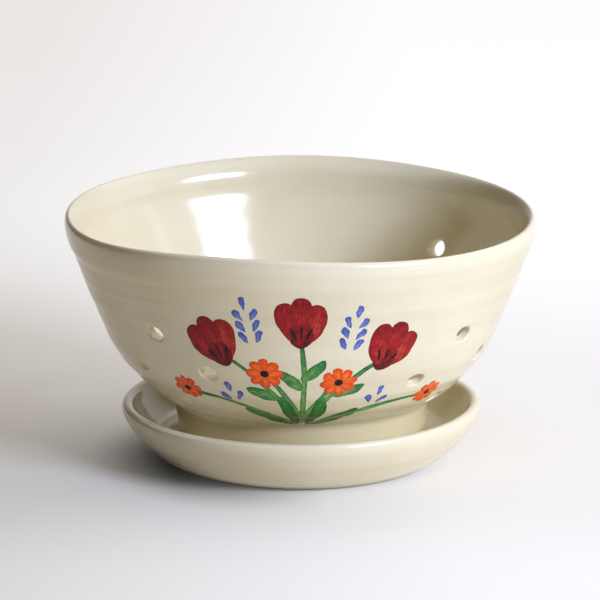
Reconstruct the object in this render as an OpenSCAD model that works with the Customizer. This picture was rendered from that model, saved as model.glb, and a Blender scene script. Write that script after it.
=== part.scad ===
// Berry colander bowl in glazed stoneware, standing on its own drip saucer.
// Millimetres, +Z up. The origin is on the table, under the centre of both pots.
// A pot's wall is a straight slope that turns in a little under the lip and curves in to the foot.

/* [Bowl] */
// Outer diameter at the rim
rim_d = 190; // [176:1:204]
// Height of the bowl from its foot to the top of the lip
bowl_h = 91.8; // [84:0.2:100]
// Thickness of the thrown wall, which the lip rounds off
wall_t = 4.2; // [3.4:0.1:5.2]
// Lean of the straight wall away from upright
wall_lean = 21.5; // [19:0.5:24]
// Lean that is left at the lip
lip_lean = 7; // [3:0.5:12]
// Outer radius of the curve under the lip
shoulder_r = 40; // [25:1:55]
// Outer radius of the curve between wall and foot
belly_r = 62.4; // [56:0.2:70]
// Height of the inner floor above the foot
bowl_floor_h = 12.6; // [11:0.1:15]
// Thickness of the bowl's floor inside the foot ring
bowl_floor_t = 5.4; // [4:0.1:6.4]

/* [Foot ring of the bowl] */
// Outer diameter where the foot ring meets the wall
foot_d = 102; // [96:1:108]
// Width of the foot ring
foot_w = 6.5; // [5:0.5:8]
// How much the foot ring draws in towards its lower edge
foot_draw = 1.3; // [0:0.1:2]
// Bevel round the lower edges of the foot ring
foot_bevel = 1.2; // [0.5:0.1:1.8]

/* [Drain holes] */
// Diameter of a drain hole
hole_d = 8; // [6:0.2:9]
// Width of the softened edge of a drain hole
hole_edge = 0.8; // [0.3:0.1:1.2]
// Height of the middle of each patch of wall holes above the foot
patch_h = 39.5; // [37:0.5:42]
// Height between two rows of wall holes
row_pitch = 15.5; // [13:0.5:16.5]
// Distance from the middle of a patch to its side holes, along the wall
side_reach = 19; // [15:0.5:21]
// Distance of the floor holes from the centre one
floor_reach = 16; // [14:0.5:19]

/* [Saucer] */
// Outer diameter at the saucer's lip
saucer_d = 145; // [139:1:154]
// Height of the saucer
saucer_h = 23.7; // [22.6:0.1:25]
// Thickness of the saucer's wall, which its lip rounds off
saucer_t = 5; // [4:0.1:5.6]
// Lean of the saucer's wall away from upright
saucer_lean = 46; // [43:0.5:49]
// Lean that is left at the saucer's lip
saucer_lip_lean = 22; // [18:0.5:26]
// Outer radius of the curve under the saucer's lip
saucer_shoulder_r = 30; // [25:1:34]
// Outer radius of the curve between the saucer's wall and its foot
saucer_belly_r = 16; // [13:0.5:18]
// Height of the saucer's floor above the table
saucer_floor_h = 10; // [9:0.1:11]
// Thickness of the saucer's floor inside its foot ring
saucer_floor_t = 6; // [5:0.1:7]
// Radius of the curve between the saucer's floor and wall
saucer_well_r = 7; // [4:0.5:9]
// Outer diameter of the saucer's foot ring
saucer_foot_d = 103; // [98:1:106]
// Width of the saucer's foot ring
saucer_foot_w = 7; // [5:0.5:9]
// Bevel round the lower edges of the saucer's foot ring
saucer_bevel = 0.4; // [0.2:0.1:0.5]
// Height of the lowest point of the saucer's outer curve above the table
saucer_under_h = 0.6; // [0.4:0.1:1]

/* [Painted spray] */
// Clearance between the foot ring's upper edge and the foot of the spray
spray_clear = 1.4; // [0.8:0.1:3]
// Height of the spray from its foot to the end of the middle tulip's stem
spray_h = 38; // [34:0.5:40]
// Thickness of one layer of underglaze
paint_t = 0.15; // [0.1:0.01:0.3]
// Clearance between two layers, and between the wall and the first layer
paint_gap = 0.02; // [0.01:0.01:0.05]
// Length of a large tulip
tulip_l = 24; // [20:0.5:27]
// Width of one tulip petal
petal_w = 9.5; // [8:0.5:11]
// Diameter of a daisy
daisy_d = 15; // [12:0.5:17]
// Width of a daisy petal
ray_w = 4.4; // [3.5:0.1:5]
// Diameter of a daisy's dark eye
eye_d = 4; // [3:0.1:5]
// Length of one blue dab
dab_l = 7; // [5:0.5:8]
// Width of one blue dab
dab_w = 3; // [2:0.1:3.5]
// Width of a stem
stem_w = 2.2; // [1.2:0.1:2.4]
// Length of a small leaf
leaf_l = 14; // [11:0.5:16]
// Width of a small leaf
leaf_w = 5.5; // [4:0.1:7]
// Length of one of the long leaves at the foot of the spray
blade_l = 24; // [20:0.5:27]
// Width of a long leaf
blade_w = 6; // [4:0.5:7.5]

/* [Hidden] */
$fn = 96;
over = 1;                       // overrun of every cut
arc_step = 4;                   // turn of one short face of a curved outline
lip_step = 15;                  // and round the lip

stone = "#e9e2d0";
red_glaze = "#a5101c";
orange_glaze = "#e8480a";
blue_glaze = "#5064b4";
green_glaze = "#3f8450";
dark_glaze = "#1e1a1c";

// Patches of four holes: turn round the bowl from the front in degrees, lift of the patch and
// tilt of its middle row in shares of the row pitch, then how far the patch leans along the wall
// and how far its middle row slips sideways, both in degrees
patch_shares = [[-43, 0.05, 0.07, 0.4, 0.7], [53.7, -0.05, 0.13, 3.6, -2.2],
                [137.6, 0.38, -0.05, 1, 0.5], [227, 0, 0.06, -2, -0.6]];
floor_holes = 6;

// Places on the spray: turn from the front in degrees, height as a share of the spray's height, tilt in
// degrees, then what the motif needs
paint_reach = belly_r / 9;      // depth of the cut that carries an outline to the curved wall
petal_shares = [[0, 0.2, 0, 0.8], [-0.16, 0.1, 17, 0.82], [0.16, 0.1, -17, 0.8]];
cup_share = 0.3;                // height and half width of a tulip's cup, of its length and petal width
rays = 8;                       // petals of a daisy
dab_side_share = 0.55;          // how far a dab stands off its line, of its width
dab_step_share = 0.8;           // distance from one pair of dabs to the next, of their length
dab_tilt = 28;
stamen_tilt = 24;
tulip_shares = [[0, 1, 0], [-21, 0.76, 20], [22, 0.72, -20]];
daisy_shares = [[-10.5, 0.7, 0, 1], [11, 0.6, 10, 1], [-38, 0.43, 5, 0.85], [46, 0.32, 0, 0.85]];
sprig_shares = [[-13, 1.05, 8, 3, 0.9], [13, 0.98, -8, 3, 0.9],
                [-21.5, 0.35, 10, 1, 0.85], [24, 0.3, -10, 1, 0.85]];
stem_shares = [[0, 0, 0, 1.02, 0.02], [-2, 0, -21, 0.78, 0.1], [2, 0, 22, 0.74, -0.1],
               [-1, 0.1, -10.5, 0.66, 0.06], [1, 0.1, 11, 0.56, -0.06],
               [-4, 0, -38, 0.38, 0.12], [4, 0, 46, 0.28, -0.12]];
blade_shares = [[-1.5, 0.02, 16], [1.5, 0.02, -16], [-3, 0.01, 52], [3, 0.01, -52]];
leaf_shares = [[0, 0.5, 42], [0, 0.62, -42], [-7.2, 0.38, 64], [9.5, 0.43, -64]];

// A pot as one list, and what each of its ten values is
bowl_z = saucer_floor_h;        // the foot ring stands on the saucer's floor
bowl_floor_z = bowl_z + bowl_floor_h;
saucer_roof_z = saucer_floor_h - saucer_floor_t;
bowl_pot = [rim_d / 2, bowl_z + bowl_h, wall_t, wall_lean, lip_lean, shoulder_r, belly_r,
            bowl_floor_z - wall_t, bowl_floor_z, belly_r - wall_t];
saucer_pot = [saucer_d / 2, saucer_h, saucer_t, saucer_lean, saucer_lip_lean, saucer_shoulder_r,
              saucer_belly_r, saucer_under_h, saucer_floor_h, saucer_well_r];
function rim_r(p) = p[0];       // outer radius at the rim
function top_z(p) = p[1];       // top of the lip
function thick(p) = p[2];       // wall
function lean(p) = p[3];        // of the straight wall
function lean_at_lip(p) = p[4];
function shoulder(p) = p[5];    // radius of the curve under the lip
function belly(p) = p[6];       // radius of the curve above the foot
function under_z(p) = p[7];     // lowest point of that curve
function floor_z(p) = p[8];     // inner floor
function well(p) = p[9];        // radius of the curve between floor and inner wall

// Directions and points of a pot's half section, with x as the radius. A lean of 90 degrees points down.
function out_of(lean) = [cos(lean), -sin(lean)];
function arc(c, r, from, to, step = arc_step) =
    let (n = ceil(abs(to - from) / step))
    [for (i = [0 : n]) c + r * out_of(from + (to - from) * i / n)];
function lip_centre(p) = [rim_r(p) - thick(p) / 2, top_z(p) - thick(p) / 2];
function shoulder_centre(p) = lip_centre(p) - (shoulder(p) - thick(p) / 2) * out_of(lean_at_lip(p));
function wall_x(p, z, inset) =
    let (top = shoulder_centre(p) + shoulder(p) * out_of(lean(p)))
    top[0] - (top[1] - z) * tan(lean(p)) - inset / cos(lean(p));
function curve_centre(p, r, low, inset) =
    let (z = low + r)
    [wall_x(p, z - r * sin(lean(p)), inset) - r * cos(lean(p)), z];
function belly_centre(p) = curve_centre(p, belly(p), under_z(p), 0);
function well_centre(p) = curve_centre(p, well(p), floor_z(p), thick(p));

// Outer side of a pot from a lean near its foot up to the lip, set out from the wall by some distance
function outer_side(p, out, foot_lean) = concat(
    arc(belly_centre(p), belly(p) + out, foot_lean, lean(p)),
    arc(shoulder_centre(p), shoulder(p) + out, lean(p), lean_at_lip(p)));
// Inner side of a pot from the lip down to the floor
function inner_side(p) = concat(
    arc(shoulder_centre(p), shoulder(p) - thick(p), lean_at_lip(p), lean(p)),
    arc(well_centre(p), well(p), lean(p), 90));
function lip(p) =
    let (from = lean_at_lip(p) - lip_step)
    arc(lip_centre(p), thick(p) / 2, from, from - 180 + 2 * lip_step, lip_step);

// Lean of the wall where a foot ring of some radius meets it
function foot_lean(p, r) = acos((r - belly_centre(p)[0]) / belly(p));
// Outer face of a foot ring, and the recess inside it
function foot_side(z, r, draw, bevel) = [[0, z], [r - draw - bevel, z], [r - draw, z + bevel]];
function foot_recess(z, r, bevel, roof_z) =
    [[0, z - over], [r + bevel + over, z - over], [r, z + bevel], [r, roof_z], [0, roof_z]];

// Turned body of a pot: foot ring, wall, lip and floor
module pot(p, z, foot_r, width, draw, bevel, roof_z) {
    rotate_extrude() difference() {
        polygon(concat(foot_side(z, foot_r, draw, bevel), outer_side(p, 0, foot_lean(p, foot_r)), lip(p),
                       inner_side(p), [[0, floor_z(p)]]));
        polygon(foot_recess(z, foot_r - draw - width, bevel, roof_z));
    }
}

// The bowl's outer wall at a height, as [radius, lean]
function wall_at(z) =
    let (c = belly_centre(bowl_pot), drop = c[1] - z)
    drop < belly_r * sin(wall_lean) ? [wall_x(bowl_pot, z, 0), wall_lean]
                                    : [c[0] + sqrt(belly_r * belly_r - drop * drop), asin(drop / belly_r)];
function degrees(arc_l, r) = arc_l / r * 180 / PI;

// Puts its children on the bowl's outer wall, facing out, with +Y up the wall
module on_wall(turn, z) {
    w = wall_at(z);
    rotate(turn) translate([0, -w[0], z]) rotate([90 + w[1], 0, 0]) children();
}

// Drain hole through a wall whose outer face is at zero, with both edges softened
module drain_hole(t) {
    r = hole_d / 2;
    translate([0, 0, -t - over]) cylinder(h = t + 2 * over, r = r);
    translate([0, 0, -hole_edge]) cylinder(h = 2 * hole_edge, r1 = r, r2 = r + 2 * hole_edge);
    translate([0, 0, -t - hole_edge]) cylinder(h = 2 * hole_edge, r1 = r + 2 * hole_edge, r2 = r);
}

module drain_patch(shares) {
    z = bowl_z + patch_h + shares[1] * row_pitch;
    for (row = [-1, 1])
        on_wall(shares[0] - row * shares[3], z + row * row_pitch) drain_hole(wall_t);
    for (side = [-1, 1])
        on_wall(shares[0] + shares[4] + side * degrees(side_reach, wall_at(z)[0]),
                z + side * shares[2] * row_pitch)
            drain_hole(wall_t);
}

module colander_bowl() {
    color(stone) difference() {
        pot(bowl_pot, bowl_z, foot_d / 2, foot_w, foot_draw, foot_bevel, bowl_floor_z - bowl_floor_t);
        for (shares = patch_shares) drain_patch(shares);
        translate([0, 0, bowl_floor_z]) {
            drain_hole(bowl_floor_t);
            for (i = [0 : floor_holes - 1])
                rotate(i * 360 / floor_holes) translate([0, floor_reach, 0]) drain_hole(bowl_floor_t);
        }
    }
}

module saucer() {
    color(stone)
        pot(saucer_pot, 0, saucer_foot_d / 2, saucer_foot_w, 0, saucer_bevel, saucer_roof_z);
}

// Outlines of brush strokes, each with its root at the centre and +Y towards its tip
module petal(l, w) {
    r = (l * l + w * w) / (4 * w);
    intersection() {
        translate([r - w / 2, l / 2]) circle(r);
        translate([w / 2 - r, l / 2]) circle(r);
    }
}
module tulip() {
    for (shares = petal_shares)
        translate([petal_w * shares[0], tulip_l * shares[1]]) rotate(shares[2])
            petal(tulip_l * shares[3], petal_w);
    translate([0, petal_w * cup_share * 2]) circle(petal_w * cup_share * 2);
}
module daisy(share) {
    root = eye_d / 4;
    for (i = [0 : rays - 1])
        rotate(i * 360 / rays) translate([0, root]) petal((daisy_d / 2 - root) * share, ray_w * share);
    circle(eye_d / 2);
}
module sprig(pairs, share) {
    for (i = [0 : pairs - 1], side = [-1, 1])
        translate([side * dab_w * share * dab_side_share, i * dab_l * share * dab_step_share])
            rotate(-side * dab_tilt) petal(dab_l * share, dab_w * share);
    translate([0, pairs * dab_l * share * dab_step_share]) petal(dab_l * share, dab_w * share);
}
module arc_stroke(l, bulge_share) {
    b = abs(bulge_share) * l;
    r = (l * l / 4 + b * b) / (2 * b);
    mirror([bulge_share < 0 ? 1 : 0, 0]) intersection() {
        translate([b - r, l / 2]) difference() {
            circle(r + stem_w / 2);
            circle(r - stem_w / 2);
        }
        translate([-l / 2, 0]) square(l);
    }
}

// One layer of underglaze that follows the wall
module layer(n) {
    low = paint_gap + n * (paint_t + paint_gap);
    from = foot_lean(bowl_pot, foot_d / 2);
    back = outer_side(bowl_pot, low, from);
    face = outer_side(bowl_pot, low + paint_t, from);
    rotate_extrude() polygon(concat(face, [for (i = [len(back) - 1 : -1 : 0]) back[i]]));
}
function spray_z(share) =
    belly_centre(bowl_pot)[1] - belly_r * sin(foot_lean(bowl_pot, foot_d / 2))
    + spray_clear + share * spray_h;

// Cuts its children's outline through the wall at a place: turn, height share, tilt
module stroke(place) {
    on_wall(place[0], spray_z(place[1])) rotate(place[2])
        translate([0, 0, -paint_reach]) linear_extrude(2 * paint_reach) children();
}
// A stem between two places, each a turn and a height share, bowed to one side
module stem(a, b, bulge_share) {
    mid = (a + b) / 2;
    w = wall_at(spray_z(mid[1]));
    dx = (b[0] - a[0]) * PI / 180 * w[0];
    dy = (b[1] - a[1]) * spray_h / cos(w[1]);
    l = norm([dx, dy]);
    stroke([mid[0], mid[1], -atan2(dx, dy)]) translate([0, -l / 2]) arc_stroke(l, bulge_share);
}

module painted_leaves() {
    color(green_glaze) intersection() {
        layer(0);
        union() {
            for (s = stem_shares) stem([s[0], s[1]], [s[2], s[3]], s[4]);
            for (place = blade_shares) stroke(place) petal(blade_l, blade_w);
            for (place = leaf_shares) stroke(place) petal(leaf_l, leaf_w);
        }
    }
}
module painted_sprigs() {
    color(blue_glaze) intersection() {
        layer(1);
        for (place = sprig_shares) stroke(place) sprig(place[3], place[4]);
    }
}
module painted_tulips() {
    color(red_glaze) intersection() {
        layer(2);
        for (place = tulip_shares) stroke(place) tulip();
    }
}
module painted_daisies() {
    color(orange_glaze) intersection() {
        layer(2);
        for (place = daisy_shares) stroke(place) daisy(place[3]);
    }
}
module painted_centres() {
    color(dark_glaze) intersection() {
        layer(3);
        union() {
            for (place = daisy_shares) stroke(place) circle(eye_d * place[3] / 2);
            for (place = tulip_shares) stroke(place)
                for (tilt = [-1, 0, 1]) rotate(tilt * stamen_tilt) translate([0, tulip_l * cup_share / 2])
                    petal(tulip_l * cup_share, petal_w * cup_share / 2);
        }
    }
}

colander_bowl();
saucer();
painted_leaves();
painted_sprigs();
painted_tulips();
painted_daisies();
painted_centres();
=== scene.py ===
import math
import bpy
import numpy as np
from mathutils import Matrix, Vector
from mathutils.geometry import delaunay_2d_cdt


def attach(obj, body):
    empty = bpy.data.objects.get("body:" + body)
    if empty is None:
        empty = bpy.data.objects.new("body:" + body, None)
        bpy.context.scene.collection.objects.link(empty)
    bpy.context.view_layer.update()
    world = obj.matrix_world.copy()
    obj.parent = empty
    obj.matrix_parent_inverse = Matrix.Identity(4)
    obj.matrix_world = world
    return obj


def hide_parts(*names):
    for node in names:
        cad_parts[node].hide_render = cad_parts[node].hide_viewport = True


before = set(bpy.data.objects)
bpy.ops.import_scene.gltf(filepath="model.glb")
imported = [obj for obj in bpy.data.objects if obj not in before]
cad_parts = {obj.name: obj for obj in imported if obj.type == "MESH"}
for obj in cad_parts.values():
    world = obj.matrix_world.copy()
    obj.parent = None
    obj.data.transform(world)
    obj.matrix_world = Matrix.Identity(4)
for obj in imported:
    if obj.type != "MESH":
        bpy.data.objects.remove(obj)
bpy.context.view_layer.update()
mm = 0.001
print("frame loaded")


# Colours are written as sRGB and used as linear light
def toLinear(hexColour):
    parts = [int(hexColour[i:i + 2], 16) / 255 for i in (1, 3, 5)]
    return [c / 12.92 if c <= 0.04045 else ((c + 0.055) / 1.055) ** 2.4 for c in parts] + [1.0]


# Adds a shader node, sets its properties and sockets, and links sockets from outputs, or from nodes, which
# give their first output. A number is a socket: 1 to 4 of a Map Range are from low, from high, to low and to
# high, and a colour Mix has its share at 0, its colours at 6 and 7, and its result at output 2
def addNode(tree, kind, settings=None, links=None):
    node = tree.nodes.new("ShaderNode" + kind)
    for name, value in (settings or {}).items():
        if isinstance(name, int) or name in node.inputs:
            node.inputs[name].default_value = value
        else:
            setattr(node, name, value)
    for name, source in (links or {}).items():
        output = source.outputs[0] if isinstance(source, bpy.types.Node) else source
        tree.links.new(output, node.inputs[name])
    return node


# A material that has no nodes yet
def newMaterial(name):
    material = bpy.data.materials.new(name)
    material.use_nodes = True
    material.node_tree.nodes.clear()
    return material


# Eases from 0 to 1 as x goes from 0 to 1: three x squared less two x cubed
def smooth(x):
    x = np.clip(x, 0, 1)
    return x * x * (3 - 2 * x)


# Mesh from points in millimetres and groups of faces, with named values at its points. Points that no face
# uses, such as those in a hole's window, are left out
def addMesh(name, points, groups, material, values, uv=None):
    mesh = bpy.data.meshes.new(name)
    used = np.unique(np.concatenate([group.ravel() for group in groups]))
    place = np.zeros(len(points), dtype=int)
    place[used] = np.arange(len(used))
    faces = [face for group in groups for face in place[group].tolist()]
    mesh.from_pydata((points[used] * mm).tolist(), [], faces)
    for key, data in values.items():
        attribute = mesh.attributes.new(key, "FLOAT", "POINT")
        attribute.data.foreach_set("value", data[used].astype(np.float32))
    if uv is not None:
        layer = mesh.uv_layers.new(name="StrokeUV")
        corner = np.zeros(len(mesh.loops), dtype=np.int32)
        mesh.loops.foreach_get("vertex_index", corner)
        layer.data.foreach_set("uv", uv[used][corner].astype(np.float32).ravel())
    mesh.polygons.foreach_set("use_smooth", np.ones(len(mesh.polygons), dtype=bool))
    mesh.materials.append(material)
    mesh.update()
    piece = bpy.data.objects.new(name, mesh)
    bpy.context.scene.collection.objects.link(piece)
    return piece


# The bowl's half section, in millimetres: a belly curve, a straight slope, and a curve under the lip. A lean
# is an angle from upright. The wall is met at a station, the length along the outer face up from its foot
bowl = {
    "columns": 360, "rowStep": 1.35, "thick": 4.2,
    "bellyR": 62.4, "bellyCentre": (21.94, 80.80), "footLean": math.radians(62.2),
    "lean": math.radians(21.5), "slopeEnd": (92.50, 89.66),
    "shoulderR": 40.0, "shoulderCentre": (55.28, 104.32), "lipLean": math.radians(7),
    "peak": (92.90, 101.80), "lipDrop": 5.6, "lipRound": 0.46, "rollRows": 4, "rollRound": 0.56,
    "beadThick": 1.25, "beadDrop": 6.2, "beadWidth": 4.7,
    "footStart": 36.0, "footInner": 43.4, "footOuter": 49.5, "footZ": 10.0, "footBend": (51.0, 25.58),
    "footRounds": [1.6, 1.3, 1.3, 4.8], "footJoin": 3.0, "floorZ": 22.6, "underZ": 17.2, "floorRows": 24,
    "holeR": 3.85, "holeWide": 1.02, "holeTall": 0.86, "holeEdge": 0.65, "holeInnerEdge": 1.5,
    "holeWobbles": [(2, 5, 0.02), (3, 9, 0.012)], "holeWindow": 6, "edgeSteps": 6,
    "floorHoles": 6, "floorHoleReach": 16.0, "floorHoleColumns": 32, "floorStep": 2.6, "underStep": 3.4,
    "bareRise": 0.9, "bareFade": 0.5, "bareSide": 0.1, "bareSideFade": 0.3,
    # the paler glaze over the lip and hole edges: thin glaze, and on the lip a painted sheen too
    "thinGlazeAndSheenShare": 0.6, "thinHigh": 97.0, "thinFade": 4.0, "innerLipThinGlazeAndSheen": 2.5, "thinFloorHole": 0.4,
    # the painted warm shade at the foot: the height where it is gone and the span it fades over
    "footShadeHigh": 29.0, "footShadeFade": 9.0,
}
bowl["bellyEnd"] = bowl["bellyR"] * (bowl["footLean"] - bowl["lean"])
bellyTop = (bowl["bellyCentre"][0] + bowl["bellyR"] * math.cos(bowl["lean"]),
            bowl["bellyCentre"][1] - bowl["bellyR"] * math.sin(bowl["lean"]))
bowl["slopeL"] = math.dist(bellyTop, bowl["slopeEnd"])
bowl["top"] = bowl["bellyEnd"] + bowl["slopeL"] + bowl["shoulderR"] * (bowl["lean"] - bowl["lipLean"])
bowl["floorStation"] = -bowl["bellyR"] * (math.pi / 2 - bowl["footLean"])

# the wall's rows of points: up to the lip outside, and up to where the lip starts inside
wallSteps = math.ceil((bowl["top"] - bowl["footJoin"]) / bowl["rowStep"])
stations = np.linspace(bowl["footJoin"], bowl["top"], wallSteps + 1)
innerStations = stations[stations < bowl["top"] - bowl["lipDrop"]]


# Outer face at a station: radius, height and lean. The belly and the shoulder are circles, the slope between
# them a line
def wallBase(s):
    onBelly = s < bowl["bellyEnd"]
    onShoulder = s > bowl["bellyEnd"] + bowl["slopeL"]
    lean = np.where(onBelly, bowl["footLean"] - s / bowl["bellyR"], bowl["lean"])
    past = s - bowl["bellyEnd"] - bowl["slopeL"]
    lean = np.where(onShoulder, bowl["lean"] - past / bowl["shoulderR"], lean)
    along = s - bowl["bellyEnd"]
    r = np.where(onBelly, bowl["bellyCentre"][0] + bowl["bellyR"] * np.cos(lean),
                 bellyTop[0] + along * math.sin(bowl["lean"]))
    z = np.where(onBelly, bowl["bellyCentre"][1] - bowl["bellyR"] * np.sin(lean),
                 bellyTop[1] + along * math.cos(bowl["lean"]))
    r = np.where(onShoulder, bowl["shoulderCentre"][0] + bowl["shoulderR"] * np.cos(lean), r)
    z = np.where(onShoulder, bowl["shoulderCentre"][1] - bowl["shoulderR"] * np.sin(lean), z)
    return r, z, lean


# Throwing rings, in millimetres: each wave's pitch up the wall and its height outside and inside, and each
# groove's station, sway round the bowl, phase of the sway, width and share of the depth
throwing = {
    "slowPitch": 10.4, "slowHeight": (0.09, 0.006), "quickPitch": 4.3, "quickHeight": (0.03, 0.0),
    "broadPitch": 27.0, "broadHeight": (0.12, 0.015),
    "grooves": [(76.5, 0.6, 0.0, 1.6, 1.0), (70.5, 0.5, 1.0, 1.3, 0.7)],
    "grooveDepth": 0.20, "grooveFade": 0.14,
    "footFade": (-4, 8), "lipFade": 6,
}


# How far the rings stand off the wall: sine waves up the wall that climb a pitch or two a turn, less the
# grooves, bell curves that are fainter at the right. Inside is 0 on the outer face and 1 on the inner face
def throwingRings(turn, s, inside):
    def height(key):
        outer, inner = throwing[key]
        return outer + (inner - outer) * inside

    slow = np.sin(2 * np.pi * s / throwing["slowPitch"] + turn + 0.5 * np.sin(2 * turn) + 1.7 * inside)
    quick = np.sin(2 * np.pi * s / throwing["quickPitch"] - turn + 1.3 + 2.1 * inside)
    broad = np.sin(2 * np.pi * s / throwing["broadPitch"] + 2 * turn + 0.6 * inside)
    waves = height("slowHeight") * slow + height("quickHeight") * quick + height("broadHeight") * broad
    dents = 0
    for station, sway, phase, width, share in throwing["grooves"]:
        dents = dents + share * np.exp(-((s - station - sway * np.sin(turn + phase)) / width) ** 2)
    depth = throwing["grooveDepth"] - throwing["grooveFade"] * np.cos(turn)
    waves = waves - depth * dents * (1 - inside)
    fromFoot = (s - throwing["footFade"][0]) / throwing["footFade"][1]
    fromLip = (bowl["top"] - inside * bowl["lipDrop"] - s) / throwing["lipFade"]
    return waves * smooth(fromFoot) * smooth(fromLip)


# The wall swells inwards to a bead under the lip: a bell curve of the distance from the lip
def wallThick(s):
    fromBead = (s - bowl["top"] + bowl["beadDrop"]) / bowl["beadWidth"]
    return bowl["thick"] + bowl["beadThick"] * np.exp(-fromBead ** 2)


# The rim is out of true, as on a hand-thrown pot. Each wave round it has its count of crests, and its
# cosine and sine parts in millimetres. The waves begin at the low height and are full at the high one
outOfTrue = {
    "low": 24.0, "high": 101.0,
    "upWaves": [(0, -0.17, 0), (1, 0.42, 1.19), (2, -1.34, 0.23), (3, 0.87, 0.27), (4, 0.30, -0.22),
                (5, -0.08, 0.16)],
    "outWaves": [(1, -0.23, 0.12), (2, -0.20, -0.79), (3, -0.40, 0.19), (4, -0.28, -1.20)],
}


# Sum of the waves at a turn, a cosine and a sine for each
def waveSum(turn, waves):
    return sum(c * np.cos(k * turn) + d * np.sin(k * turn) for k, c, d in waves)


# Moves a radius and height by the waves, which grow with the square of the height
def warp(turn, r, z):
    share = np.clip((z - outOfTrue["low"]) / (outOfTrue["high"] - outOfTrue["low"]), 0, 1) ** 2
    out = waveSum(turn, outOfTrue["outWaves"])
    up = waveSum(turn, outOfTrue["upWaves"])
    return r + out * share, z + up * share


# A radius and height carried round the axis: the radius times the turn's cosine and sine, and the height
def turned(turn, r, z):
    return np.stack([r * np.cos(turn), r * np.sin(turn), z], axis=-1)


# Rows of points from a half section, one row for each of its points
def turnLine(turn, line):
    return turned(turn, *warp(turn, line[:, :1], line[:, 1:]))


# A point that stands off the bowl's outer face by some distance, at a turn and a station
def onWall(turn, s, out):
    r, z, lean = wallBase(s)
    inside = (np.asarray(out) < -bowl["thick"] / 2) * 1.0
    stand = out + throwingRings(turn, s, inside)
    return turned(turn, *warp(turn, r + stand * np.cos(lean), z - stand * np.sin(lean)))


# Half section whose corners are rounded by arcs. An arc's centre lies on the corner's bisector, its radius
# over the sine of half the corner's angle away, and it starts its radius over the tangent from the corner
def rounded(points, radii, step=0.35):
    line = [points[0]]
    for before, corner, after, radius in zip(points, points[1:], points[2:], radii):
        corner = Vector(corner)
        toBefore = (Vector(before) - corner).normalized()
        toAfter = (Vector(after) - corner).normalized()
        half = toBefore.angle(toAfter) / 2
        centre = corner + (toBefore + toAfter).normalized() * radius / math.sin(half)
        start = corner + toBefore * radius / math.tan(half) - centre
        end = corner + toAfter * radius / math.tan(half) - centre
        count = max(4, math.ceil(radius * (math.pi - 2 * half) / step))
        sweep = -start.angle_signed(end) * np.arange(count + 1) / count
        x = centre.x + start.x * np.cos(sweep) - start.y * np.sin(sweep)
        y = centre.y + start.x * np.sin(sweep) + start.y * np.cos(sweep)
        line.extend(zip(x, y))
    line.append(points[-1])
    return np.array(line)


# Points on a circle of a half section, whose angle is measured down from straight out
def arcLine(centre, radius, start, end, count):
    a = np.linspace(start, end, count)
    return np.column_stack([centre[0] + radius * np.cos(a), centre[1] - radius * np.sin(a)])


# One side of a lip: a cubic curve from a point on a sloping face up to the level peak. Its two middle points
# lie a share of the way from each end to where the face's line meets the peak's height
def rollLine(start, upward, peak, share, count):
    corner = start + upward * (peak[1] - start[1]) / upward[1]
    leave = start + share * (corner - start)
    level = peak + share * (corner - peak)
    k = np.linspace(0, 1, count)[:, None]
    lower = (1 - k) ** 3 * start + 3 * k * (1 - k) ** 2 * leave
    upper = 3 * k ** 2 * (1 - k) * level + k ** 3 * peak
    return lower + upper


# Quads between successive rows of a closed ring, left out where a mask says so
def ringQuads(rows, left=None):
    a = rows[:-1]
    b = rows[1:]
    quads = np.stack([a, np.roll(a, -1, axis=1), np.roll(b, -1, axis=1), b], axis=-1)
    return quads.reshape(-1, 4) if left is None else quads[~left]


# Flat round face with round holes: Delaunay triangles over the loops' points and a grid of spare points
# between them
def flatFace(points, outer, loops, step):
    flat = points[:, :2]
    reach = np.linalg.norm(flat[outer[0]])
    centres = np.array([flat[loop].mean(axis=0) for loop in loops])
    holeR = np.linalg.norm(flat[loops[0][0]] - centres[0])
    # spare points keep off the rim and the holes by a share of their step
    margin = 0.6 * step
    lanes = np.arange(-reach, reach + step, step)
    spare = np.stack(np.meshgrid(lanes, lanes), axis=-1).reshape(-1, 2)
    spare = spare[np.linalg.norm(spare, axis=1) < reach - margin]
    fromHole = np.linalg.norm(spare[:, None] - centres[None], axis=-1).min(axis=1)
    spare = spare[fromHole > holeR + margin]
    used = np.concatenate([outer] + loops)
    every = np.concatenate([flat[used], spare])
    edges = []
    first = 0
    for loop in [outer] + loops:
        edges += [(first + i, first + (i + 1) % len(loop)) for i in range(len(loop))]
        first += len(loop)
    found = delaunay_2d_cdt([Vector(p) for p in every.tolist()], edges, [], 0, 1e-6)
    where = np.array([origin[0] for origin in found[3]])
    faces = where[np.array(found[2])]
    middle = every[faces].mean(axis=1)
    solid = np.linalg.norm(middle[:, None] - centres[None], axis=-1).min(axis=1) > holeR
    solid &= np.linalg.norm(middle, axis=1) < reach
    index = np.concatenate([used, len(points) + np.arange(len(spare))])
    height = np.full(len(spare), points[outer[0], 2])
    return index[faces[solid]], np.column_stack([spare, height])


# Drain holes, in patches of four. Each patch has its turn from the front, the lift of its middle and the
# tilt of its side holes as shares of the row pitch, the lean of its other two, and the slip of its side
# holes, with turn, lean and slip in degrees
drain = {
    "middle": 49.5, "pitch": 15.5, "side": 19.0,
    "patches": [(-43, 0.05, 0.07, 0.4, 0.7), (53.7, -0.05, 0.13, 3.6, -2.2), (137.6, 0.38, -0.05, 1, 0.5),
                (227, 0, 0.06, -2, -0.6)],
}
# stations from where the floor levels out up to the lip, and their heights
stationTable = np.linspace(-30, bowl["top"], 2400)
heightTable = wallBase(stationTable)[1]


# Station at a height, between the nearest two in the table
def stationAt(z):
    return float(np.interp(z, heightTable, stationTable))


# Radius of the outer face at a station
def radiusAt(s):
    return float(wallBase(s)[0])


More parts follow.
